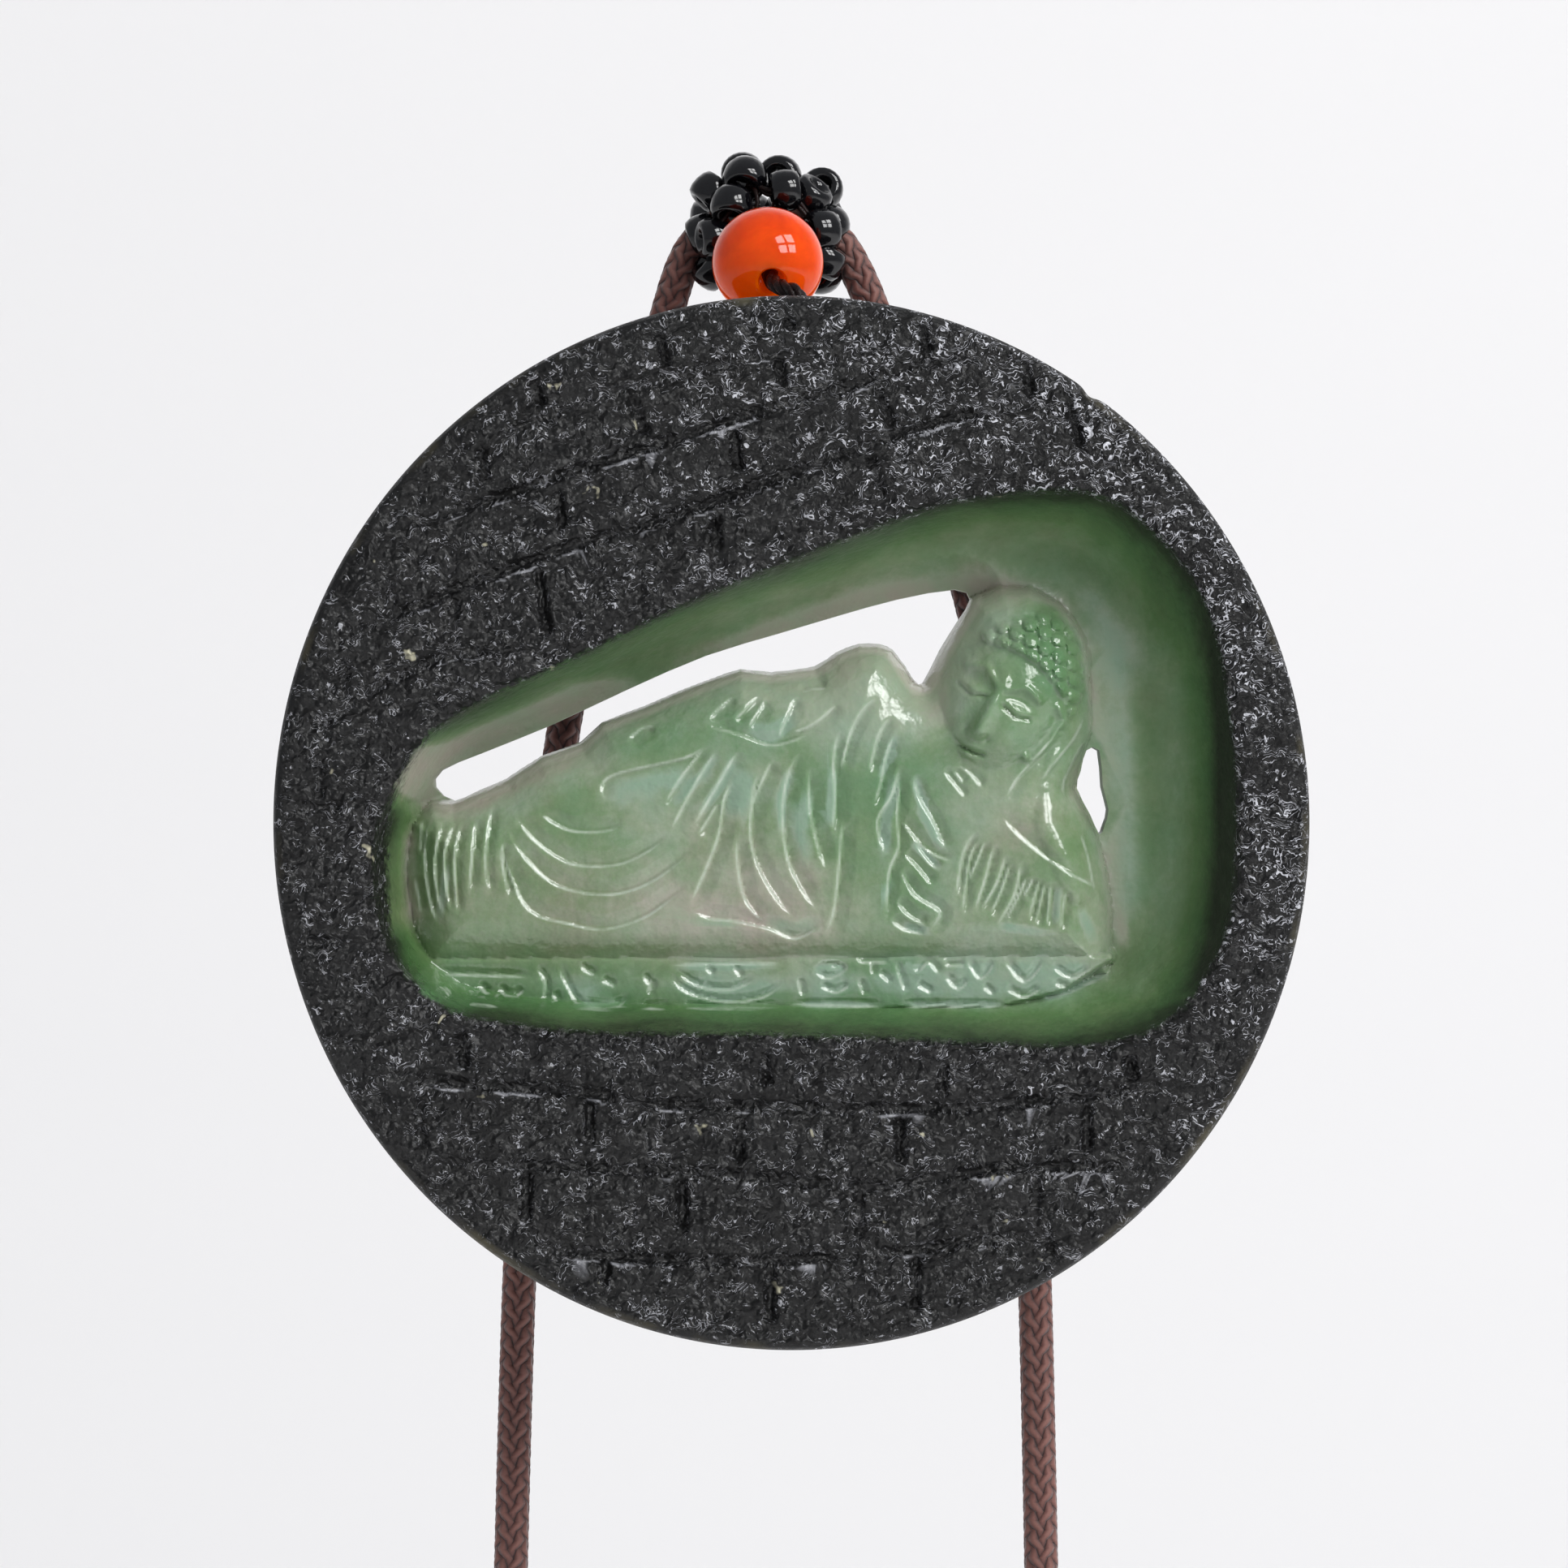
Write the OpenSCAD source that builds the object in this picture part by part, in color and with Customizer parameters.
// Carved jade disc pendant: a round slab of black-skinned green jade, ground out to a sloping
// window with a reclining figure on a bed, hung by a carnelian bead and a seed-bead loop on a
// braided neck cord. The origin is the eye of the seed-bead loop, +Z is up and the face looks
// along -Y. The stone is drawn lying down, face up, with its front face at height 0.

/* [Disc] */
// Width of the stone disc
disc_w = 56; // [50:1:64]
// Height of the stone disc
disc_h = 57; // [51:1:65]
// Thickness of the stone disc
disc_t = 9; // [8:0.5:12]
// Width of the polished bevel round the front edge
front_bevel = 0.5; // [0.2:0.1:1]
// Radius of the rounded back edge
back_round = 2.5; // [1:0.25:3]

/* [Window] */
// Width of the carved window
window_w = 46.7; // [40:0.5:48]
// Height of the carved window
window_h = 30.2; // [26:0.5:32]
// Depth of the window's floor below the face
recess_depth = 6.2; // [5:0.1:7]
// Width of the window's sloping wall
wall_w = 3.3; // [2.6:0.1:4]
// Width of the window's wall under the bed
low_wall_w = 5.28; // [4:0.04:6]
// Stone left at the edge of the pierced slits
slit_edge_t = 1; // [0.6:0.1:1.6]
// Width of the bevel that falls to the pierced slits
slit_bevel = 1.9; // [1:0.1:2.5]
// Size of the carving's facets
relief_cell = 0.65; // [0.6:0.05:1.2]

/* [Figure] */
// Height of the reclining body over its lowest edge
body_h = 3.9; // [2.5:0.1:5]
// Width over which the body's edge is rounded
body_round = 3.6; // [2:0.1:5]
// Length of the head from chin to crown
head_l = 12.4; // [10:0.2:14]
// Width of the head
head_w = 8.6; // [7:0.2:10]
// Height of the head over the body's lowest edge
head_h = 5; // [3:0.1:5.5]
// Width of the propping forearm
arm_d = 4.8; // [3.6:0.1:5.6]
// Height of the forearm over the body
arm_h = 0.3; // [0.1:0.05:0.8]
// Height of the bed's front over the window's floor
bed_h = 2.3; // [1.5:0.1:3.5]
// Depth of the main folds of the robe
fold_depth = 0.35; // [0.2:0.05:0.6]
// Half the width of the main folds of the robe
fold_w = 0.85; // [0.6:0.05:1]

/* [Brick pattern] */
// Width of an incised brick line at the face
line_w = 0.42; // [0.3:0.02:0.6]
// Depth of an incised brick line
line_depth = 0.26; // [0.15:0.01:0.4]

/* [Bead and loop] */
// Diameter of the carnelian bead
bead_d = 6.2; // [5:0.1:7]
// Diameter of the bead's drill hole
bead_hole_d = 1.5; // [1.1:0.1:2]
// Diameter of the seed-bead loop
loop_d = 8.8; // [7.6:0.1:10]
// Diameter of the loop's eye
eye_d = 3.8; // [3:0.1:4.6]
// How much wider the eye is at its mouths
eye_flare = 1.8; // [0.8:0.1:2]
// Length of each flared mouth of the eye
flare_l = 2; // [1:0.1:2.4]
// Gap between the bead and what it leans on
bead_gap = 0.1; // [0.05:0.05:0.3]
// Diameter of the tie thread
thread_d = 0.9; // [0.6:0.1:1]
// Diameter of the drill hole through the disc's rim
rim_hole_d = 1.6; // [1.4:0.1:2]

/* [Neck cord] */
// Diameter of the braided neck cord
cord_d = 2; // [1.6:0.1:2.2]
// Diameter of the barrel clasp
clasp_d = 4.2; // [3.4:0.1:5]
// Length of the barrel clasp
clasp_l = 21.2; // [18:0.2:24]
// Radius of the clasp's rounded shoulders
clasp_round = 0.8; // [0.4:0.1:1.2]

/* [Hidden] */

// Middle of the disc, behind and below the eye
disc_x = 1.4;
face_y = -16.3;
disc_top_z = -5;
disc_z = disc_top_z - disc_h / 2;
back_y = face_y + disc_t;

// The bead leans on the round of the disc's back edge and on the front of the loop. Its centre
// is where circles about those two meet, in front of the loop.
seat_y = back_y - back_round;
seat_z = disc_top_z - back_round;
seat_reach = back_round + bead_d / 2 + bead_gap;
loop_reach = loop_d / 2 + bead_d / 2 + bead_gap;
seat_far = norm([seat_y, seat_z]);
seat_share = (loop_reach * loop_reach - seat_reach * seat_reach + seat_far * seat_far)
    / (2 * seat_far);
seat_rise = sqrt(loop_reach * loop_reach - seat_share * seat_share);
bead_x = 0.1;
bead_y = (seat_y * seat_share + seat_z * seat_rise) / seat_far;
bead_z = (seat_z * seat_share - seat_y * seat_rise) / seat_far;
// The bead's drill hole falls to the front by this angle, and turns a little to the right
bead_fall = 26.5;
bead_turn = 5;

// Rim hole: from the top of the rim to the back of the disc
rim_hole_x = 2;
rim_hole_fore = 4.6;
rim_hole_y = back_y - rim_hole_fore;
rim_hole_fall = 50;

// Middle of the clasp, at the bottom of the hanging loop of cord
clasp_x = 0.1;
clasp_y = 0.4;
clasp_z = -205;

// The window's middle stands off the disc's by these shares of its half width and half height
WINDOW_SHIFT = [0.027, 0.105];
// Outline of the window, as shares of half its width and half its height, anticlockwise
WINDOW = [
    [-0.97, -0.64], [-0.90, -0.78], [-0.79, -0.89], [-0.50, -0.95], [-0.06, -0.96], [0.31, -0.98],
    [0.64, -1.00], [0.82, -0.93], [0.93, -0.75], [0.99, -0.50], [1.00, -0.10], [0.98, 0.27],
    [0.93, 0.59], [0.82, 0.83], [0.66, 0.99], [0.40, 0.97], [0.21, 0.89], [-0.23, 0.62],
    [-0.50, 0.42], [-0.74, 0.25], [-0.87, 0.12], [-0.95, -0.06], [-1.00, -0.25], [-1.00, -0.44]];
// Lower edge of the long slit, which is the body's upper outline, from the feet to the neck
SHOULDER = [
    [-0.81, -0.12], [-0.75, -0.08], [-0.69, -0.04], [-0.61, 0.04], [-0.52, 0.09], [-0.47, 0.16],
    [-0.37, 0.22], [-0.28, 0.28], [-0.21, 0.32], [-0.15, 0.35], [-0.08, 0.34], [0.02, 0.36],
    [0.07, 0.41], [0.12, 0.44], [0.17, 0.44], [0.20, 0.42], [0.23, 0.36], [0.25, 0.31],
    [0.27, 0.30]];
// Side of the head beside the long slit, from the neck to the slit's tip
CHEEK = [[0.31, 0.42], [0.35, 0.52], [0.38, 0.60]];
// Upper edge of the long slit, from its tip back to the feet
BROW = [
    [0.345, 0.636], [0.21, 0.60], [0.07, 0.54], [-0.06, 0.48], [-0.23, 0.40], [-0.41, 0.28],
    [-0.59, 0.15], [-0.75, 0.05], [-0.84, -0.01], [-0.855, -0.07]];
// Small slit between the hand and the window's wall, clockwise from its top left
SMALL_SLIT = [
    [0.645, 0.06], [0.675, 0.06], [0.683, -0.07], [0.696, -0.15], [0.687, -0.205],
    [0.675, -0.238], [0.653, -0.166], [0.623, -0.073], [0.632, -0.013]];
// Rest of the figure's outline, from the crown past the hand and elbow to the feet
CROWN_TO_FEET = [
    [0.443, 0.65], [0.52, 0.65], [0.593, 0.583], [0.64, 0.457], [0.662, 0.278], [0.662, 0.132],
    [0.632, -0.013], [0.623, -0.073], [0.653, -0.166], [0.675, -0.238], [0.696, -0.358],
    [0.709, -0.503], [0.709, -0.76], [-0.90, -0.76], [-0.93, -0.384], [-0.914, -0.185],
    [-0.86, -0.12]];
// Bed under the figure, tapered at its right end
BED = [
    [-0.92, -0.70], [-0.84, -0.84], [-0.50, -0.86], [0.45, -0.86], [0.60, -0.80], [0.71, -0.69]];
// Middle of the head and its lean, and the run of the propping arm from elbow to temple
HEAD = [0.473, 0.238];
head_lean = 62;
ARM = [[0.64, -0.44], [0.57, -0.20], [0.60, 0.02]];
// Main folds of the robe, each along its valley
FOLDS = [
    [[-0.67, -0.16], [-0.57, -0.32], [-0.43, -0.33], [-0.31, -0.23], [-0.23, 0.06]],
    [[-0.70, -0.23], [-0.63, -0.50], [-0.47, -0.57], [-0.31, -0.46], [-0.20, -0.25],
        [-0.16, -0.02]],
    [[-0.10, 0.00], [-0.12, -0.25], [-0.06, -0.47], [-0.02, -0.54]],
    [[-0.01, 0.06], [-0.05, -0.18], [-0.01, -0.42], [0.03, -0.51]],
    [[0.09, -0.17], [0.07, -0.53], [0.04, -0.61]],
    [[0.22, 0.01], [0.22, -0.28], [0.19, -0.56]],
    [[0.25, 0.10], [0.27, -0.12], [0.33, -0.30]],
    [[0.40, -0.25], [0.37, -0.53]],
    [[0.53, -0.37], [0.49, -0.54]],
    [[-0.48, -0.04], [-0.29, 0.09], [-0.09, 0.09], [0.02, 0.15], [0.12, 0.28]],
    [[0.58, 0.11], [0.46, -0.12]],
    [[-0.72, -0.13], [-0.72, -0.45]],
    [[-0.83, -0.18], [-0.85, -0.45]]];

// Brick courses as shares of the disc's half width and half height, each from left to right
COURSES = [
    [[-0.63, 0.71], [-0.34, 0.82], [-0.12, 0.87], [0.12, 0.93]],
    [[-0.77, 0.55], [-0.44, 0.66], [-0.13, 0.76], [0.12, 0.83], [0.25, 0.87], [0.42, 0.88]],
    [[-0.89, 0.34], [-0.63, 0.45], [-0.44, 0.52], [-0.17, 0.60], [0.02, 0.67], [0.19, 0.73],
        [0.31, 0.77], [0.47, 0.79], [0.56, 0.80]],
    [[-0.96, 0.15], [-0.80, 0.26], [-0.66, 0.32], [-0.53, 0.33]],
    [[0.56, 0.67], [0.69, 0.70]],
    [[-0.97, 0.03], [-0.86, 0.03]],
    [[0.90, 0.03], [0.98, 0.03]],
    [[-0.96, -0.22], [-0.86, -0.23]],
    [[0.90, -0.25], [0.96, -0.25]],
    [[-0.86, -0.47], [-0.68, -0.49], [-0.39, -0.51], [-0.27, -0.53], [0.02, -0.54],
        [0.33, -0.54], [0.53, -0.52], [0.79, -0.49]],
    [[-0.74, -0.64], [-0.48, -0.65], [-0.19, -0.66], [0.04, -0.68], [0.16, -0.69],
        [0.35, -0.66], [0.47, -0.65], [0.74, -0.65]],
    [[-0.52, -0.80], [-0.35, -0.82], [-0.21, -0.83], [-0.05, -0.83], [0.21, -0.81],
        [0.37, -0.79], [0.54, -0.78]]];
// Upright joints between the courses: left top, right bottom, as the same shares
JOINTS = [
    [-0.50, 0.84, -0.48, 0.79], [-0.26, 0.93, -0.24, 0.86], [-0.01, 0.96, 0.00, 0.93],
    [-0.03, 0.88, -0.01, 0.82], [0.25, 0.95, 0.26, 0.88], [-0.31, 0.81, -0.28, 0.73],
    [-0.60, 0.71, -0.59, 0.64], [0.16, 0.83, 0.20, 0.74], [-0.11, 0.75, -0.10, 0.66],
    [-0.45, 0.63, -0.44, 0.55], [0.45, 0.88, 0.46, 0.80], [0.53, 0.82, 0.56, 0.70],
    [0.15, 0.70, 0.18, 0.61], [-0.15, 0.59, -0.14, 0.48], [-0.49, 0.49, -0.47, 0.35],
    [-0.78, 0.50, -0.77, 0.36], [-0.65, 0.43, -0.65, 0.35], [-0.86, 0.32, -0.86, 0.23],
    [-0.91, 0.13, -0.91, 0.04], [-0.64, -0.39, -0.63, -0.47], [-0.05, -0.43, -0.05, -0.50],
    [0.29, -0.45, 0.29, -0.52], [0.65, -0.44, 0.66, -0.49], [-0.72, -0.52, -0.71, -0.62],
    [-0.39, -0.52, -0.39, -0.61], [-0.10, -0.55, -0.10, -0.65], [0.21, -0.55, 0.21, -0.65],
    [0.57, -0.53, 0.57, -0.63], [-0.51, -0.65, -0.51, -0.76], [-0.21, -0.67, -0.21, -0.79],
    [0.13, -0.69, 0.13, -0.79], [0.47, -0.66, 0.47, -0.77], [-0.36, -0.82, -0.36, -0.88],
    [-0.04, -0.84, -0.04, -0.95], [0.24, -0.81, 0.24, -0.93], [0.50, -0.79, 0.50, -0.84]];

// Route of the neck cord: clasp, up the left strand, through the eye, down the right strand
CORD_ROUTE = [
    [-10.5, 0.4, -205], [-12, 0.4, -205], [-15.2, 0.4, -203.6], [-17, 0.4, -200.4],
    [-17.4, 0.4, -196], [-17, 0.5, -180], [-16, 0.5, -140], [-15, 0.6, -95],
    [-14.1, 0.6, -60], [-13, 0.5, -42], [-11.5, 0.4, -28], [-8.6, 0.2, -16],
    [-6.4, 0.1, -7.5], [-5.6, 0, -4.5], [-4.8, 0, -2], [-3.9, 0, -0.5], [-2.6, 0, 0.3],
    [0, 0, 0.5], [2.6, 0, 0.3], [4, 0, -0.5], [4.9, 0, -1.8], [5.9, 0, -4],
    [7.1, 0.1, -7.5], [9.6, 0.2, -14.5], [12.3, 0.4, -24], [14.4, 0.5, -40],
    [15.3, 0.6, -60], [16, 0.6, -95], [16.8, 0.5, -140], [17.6, 0.5, -180],
    [17.7, 0.4, -196], [17.2, 0.4, -200.4], [15.4, 0.4, -203.6], [12.2, 0.4, -205],
    [10.7, 0.4, -205]];
// Route of the tie thread: loop, through the bead, through the rim hole, back up to the loop
THREAD_ROUTE = [
    [-0.1, -4.4, -1.05], [0.1, -7.2, -2.43], [0.35, -9.7, -3.65], [0.9, -11, -4.15],
    [1.7, -11.8, -4.6], [2, -11.3, -5.75], [2, -9.6, -7.8], [2, -7.9, -9.8],
    [2, -6.8, -10.5], [1.8, -6, -10], [1.3, -4.4, -7.6], [0.65, -2.2, -3.9]];

cord_sides = 8;
ring_step = 7;
disc_sides = 96;
groove_sides = 4;

// A curve through points: a share t of the way from b to c
function bend(a, b, c, d, t) =
    0.5 * (2 * b + (c - a) * t + (2 * a - 5 * b + 4 * c - d) * t * t
    + (3 * b - a - 3 * c + d) * t * t * t);
function rounded_loop(pts, n) = [
    for (i = [0 : len(pts) - 1], k = [0 : n - 1])
        bend(pts[(i + len(pts) - 1) % len(pts)], pts[i], pts[(i + 1) % len(pts)],
            pts[(i + 2) % len(pts)], k / n)];
function rounded_line(pts, step) = concat([
    for (i = [0 : len(pts) - 2])
        let (n = max(1, round(norm(pts[i + 1] - pts[i]) / step)))
            for (k = [0 : n - 1])
                bend(pts[max(i - 1, 0)], pts[i], pts[i + 1], pts[min(i + 2, len(pts) - 1)],
                    k / n)],
    [pts[len(pts) - 1]]);
function unit(v) = v / norm(v);
function step_up(t) = t <= 0 ? 0 : t >= 1 ? 1 : t * t * (3 - 2 * t);
function dome(t) = t <= 0 ? 0 : t >= 1 ? 1 : sqrt(1 - (1 - t) * (1 - t));

// Shares of the window as places on the disc. The slits and the figure's outline lie deep in the
// stone and are charted as they look from the front, so they are drawn larger about the middle of
// that view, both as shares of the window.
SIGHT = [-0.05, -0.06];
// How deep the slits lie, and how far off the front view is seen from
deep_by = 8.1;
seen_from = 300;
deep_spread = 1 + deep_by / seen_from;
window_x = WINDOW_SHIFT[0] * disc_w / 2;
window_y = WINDOW_SHIFT[1] * disc_h / 2;
function place(p) = [window_x + p[0] * window_w / 2, window_y + p[1] * window_h / 2];
function places(pts) = [for (p = pts) place(p)];
function deep_places(pts) = [for (p = pts) place(SIGHT + (p - SIGHT) * deep_spread)];

window_line = rounded_loop(places(WINDOW), 2);
long_slit = deep_places(concat(SHOULDER, CHEEK, BROW));
small_slit = deep_places(SMALL_SLIT);
figure_line = deep_places(concat(SHOULDER, CHEEK, CROWN_TO_FEET));
bed_line = places(BED);
head_at = place(HEAD);
arm_line = places(ARM);
folds = [for (f = FOLDS) places(f)];

// Distance from a point to an outline, above 0 inside it
function to_piece(p, a, b) =
    let (ab = b - a, q = p - a - ab * max(0, min(1, ((p - a) * ab) / (ab * ab)))) q * q;
function crosses(p, a, b) =
    (a[1] > p[1]) != (b[1] > p[1])
    && p[0] < (b[0] - a[0]) * (p[1] - a[1]) / (b[1] - a[1]) + a[0];
function is_in(p, pts) =
    len([for (i = [0 : len(pts) - 1]) if (crosses(p, pts[i], pts[(i + 1) % len(pts)])) 1]) % 2;
function reach(p, pts) =
    (is_in(p, pts) == 1 ? 1 : -1)
    * sqrt(min([for (i = [0 : len(pts) - 1]) to_piece(p, pts[i], pts[(i + 1) % len(pts)])]));

// Depth of the carving below the face
body_base = recess_depth + 0.9;
bed_edge = 0.3;
slit_depth = disc_t - slit_edge_t;
// Shares of the window's half height between which the wall under the bed gets its own width
LOW_BAND = [0.55, 0.85];
function low_share(p) =
    step_up(((window_y - p[1]) * 2 / window_h - LOW_BAND[0]) / (LOW_BAND[1] - LOW_BAND[0]));
function wall_at(p) =
    (wall_w + (low_wall_w - wall_w) * low_share(p))
    * (1 + step_up((p[0] - window_x) / window_w * 2.5 - 0.3));
function bowl(p, e) = recess_depth * (1 - pow(1 - min(1, e / wall_at(p)), 3));
function fall(p, d) =
    let (s = max(reach(p, long_slit), reach(p, small_slit)))
        d + (slit_depth - d) * max(0, min(1, 1 + s / slit_bevel));
function to_line(p, line) =
    sqrt(min([for (i = [0 : len(line) - 2]) to_piece(p, line[i], line[i + 1])]));
function folded(p) = max([for (f = folds) max(0, 1 - pow(to_line(p, f) / fold_w, 2))]);
function body(p, e) =
    e <= 0 ? disc_t : body_base - body_h * dome(e / body_round) + fold_depth * folded(p);
function head(p) =
    let (
        v = p - head_at,
        a = (v[0] * cos(head_lean) + v[1] * sin(head_lean)) / (head_l / 2),
        b = (v[1] * cos(head_lean) - v[0] * sin(head_lean)) / (head_w / 2),
        r = a * a + b * b)
        r >= 1 ? disc_t : body_base - head_h * sqrt(1 - r);
function arm(p, e) =
    let (d = to_line(p, arm_line) / (arm_d / 2))
        d >= 1 || e <= 0 ? disc_t
        : body_base - (body_h + arm_h) * sqrt(1 - d * d) * dome(e / body_round);
function bed(p) =
    let (e = reach(p, bed_line))
        e < -bed_edge ? disc_t : recess_depth - bed_h * step_up((e / bed_edge + 1) / 2);
function carved(p, e) =
    let (f = reach(p, figure_line))
        min(fall(p, bowl(p, e)), body(p, f), head(p), arm(p, f), bed(p));
function depth(p) =
    let (e = reach(p, window_line))
        e < 0 ? max(-2, e * recess_depth * 2.4 / wall_w) : min(carved(p, e), bowl(p, e) + e);

// The tool that cuts the window: flat above the face, with the carving as its underside
grid_x = floor(window_w / relief_cell / 2) + 3;
grid_y = floor(window_h / relief_cell / 2) + 3;
columns = 2 * grid_x + 1;
rows = 2 * grid_y + 1;
module window_cutter() {
    top = 1.5 * disc_t;
    x0 = window_x - grid_x * relief_cell;
    y0 = window_y - grid_y * relief_cell;
    x1 = window_x + grid_x * relief_cell;
    y1 = window_y + grid_y * relief_cell;
    under = [
        for (j = [0 : rows - 1], i = [0 : columns - 1])
            let (p = [x0 + i * relief_cell, y0 + j * relief_cell]) [p[0], p[1], -depth(p)]];
    lid = [[x0, y0, top], [x1, y0, top], [x1, y1, top], [x0, y1, top]];
    n = columns * rows;
    last = columns - 1;
    cells = [
        for (j = [0 : rows - 2], i = [0 : columns - 2])
            let (a = j * columns + i, b = a + 1, c = b + columns, d = a + columns)
                each abs(under[a][2] - under[c][2]) < abs(under[b][2] - under[d][2])
                    ? [[a, b, c], [a, c, d]] : [[a, b, d], [b, c, d]]];
    sides = [
        [n + 3, n + 2, n + 1, n],
        concat([n, n + 1], [for (i = [last : -1 : 0]) i]),
        concat([n + 2, n + 3], [for (i = [0 : last]) (rows - 1) * columns + i]),
        concat([n + 3, n], [for (j = [0 : rows - 1]) j * columns]),
        concat([n + 1, n + 2], [for (j = [rows - 1 : -1 : 0]) j * columns + last])];
    polyhedron(concat(under, lid), concat(cells, sides));
}

// One incised line between two places on the face
module groove(a, b) {
    hull() {
        for (p = [a, b]) {
            translate([p[0] * disc_w / 2, p[1] * disc_h / 2, -line_depth])
                cylinder(h = 2 * line_depth, d1 = 0.05, d2 = 2 * line_w, $fn = groove_sides);
        }
    }
}

module bricks() {
    for (course = COURSES) {
        for (i = [0 : len(course) - 2]) {
            groove(course[i], course[i + 1]);
        }
    }
    for (j = JOINTS) {
        groove([j[0], j[1]], [j[2], j[3]]);
    }
}

module disc_blank() {
    r = disc_h / 2;
    scale([disc_w / disc_h, 1, 1])
        rotate_extrude($fn = disc_sides)
            polygon(concat(
                [[0, 0], [r - front_bevel, 0], [r - front_bevel / 3, -front_bevel / 3],
                    [r, -front_bevel]],
                [for (a = [0 : 15 : 90])
                    [r - back_round * (1 - cos(a)), -disc_t + back_round * (1 - sin(a))]],
                [[0, -disc_t]]));
}

module pierced(pts) {
    translate([0, 0, -disc_t - 1])
        linear_extrude(height = 2 * disc_t)
            polygon(pts);
}

module jade_disc() {
    color("darkslategray")
        translate([disc_x, face_y, disc_z])
            rotate([90, 0, 0])
                difference() {
                    disc_blank();
                    window_cutter();
                    pierced(long_slit);
                    pierced(small_slit);
                    bricks();
                    translate([rim_hole_x - disc_x, disc_top_z - disc_z, face_y - rim_hole_y])
                        rotate([180 - rim_hole_fall, 0, 0])
                            cylinder(h = 4 * disc_t, d = rim_hole_d, center = true, $fn = 24);
                }
}

module carnelian_bead() {
    color("orangered")
        translate([bead_x, bead_y, bead_z])
            rotate([0, 0, bead_turn])
                rotate([90 + bead_fall, 0, 0])
                    difference() {
                        sphere(d = bead_d, $fn = 16);
                        cylinder(h = 2 * bead_d, d = bead_hole_d, center = true, $fn = 16);
                    }
}

module bead_loop() {
    color("black")
        rotate([0, 90, 0])
            difference() {
                sphere(d = loop_d, $fn = 16);
                cylinder(h = 2 * loop_d, d = eye_d, center = true, $fn = 24);
                for (turn = [0, 180]) {
                    rotate([turn, 0, 0])
                        translate([0, 0, loop_d / 2 - flare_l])
                            cylinder(h = flare_l, d1 = eye_d, d2 = eye_d + eye_flare, $fn = 24);
                }
            }
}

// A round tube along a line of points, with its flats set by the side vector
module tube(line, d, side) {
    n = len(line);
    rings = [
        for (i = [0 : n - 1])
            let (
                along = unit(line[min(i + 1, n - 1)] - line[max(i - 1, 0)]),
                across = unit(side - (side * along) * along),
                up = cross(along, across))
                for (k = [0 : cord_sides - 1])
                    line[i] + d / 2 * (cos(360 * k / cord_sides) * across
                    + sin(360 * k / cord_sides) * up)];
    walls = [
        for (i = [0 : n - 2], k = [0 : cord_sides - 1])
            let (
                a = i * cord_sides + k,
                b = i * cord_sides + (k + 1) % cord_sides)
                each [[a, a + cord_sides, b + cord_sides], [a, b + cord_sides, b]]];
    ends = [
        [for (k = [0 : cord_sides - 1]) k],
        [for (k = [cord_sides - 1 : -1 : 0]) (n - 1) * cord_sides + k]];
    polyhedron(rings, concat(walls, ends));
}

module tie_thread() {
    color("saddlebrown")
        tube(rounded_line(THREAD_ROUTE, 1.2), thread_d, [1, 0, 0]);
}

module neck_cord() {
    color("sienna")
        tube(rounded_line(CORD_ROUTE, ring_step), cord_d, [0, 1, 0]);
}

module clasp() {
    r = clasp_d / 2;
    h = clasp_l / 2;
    color("silver")
        translate([clasp_x, clasp_y, clasp_z])
            rotate([0, 90, 0])
                rotate_extrude($fn = 32)
                    polygon(concat(
                        [[0, -h]],
                        [for (a = [-90 : 15 : 0])
                            [r - clasp_round * (1 - cos(a)), -h + clasp_round * (1 + sin(a))]],
                        [for (a = [0 : 15 : 90])
                            [r - clasp_round * (1 - cos(a)), h - clasp_round * (1 - sin(a))]],
                        [[0, h]]));
}

jade_disc();
carnelian_bead();
bead_loop();
tie_thread();
neck_cord();
clasp();
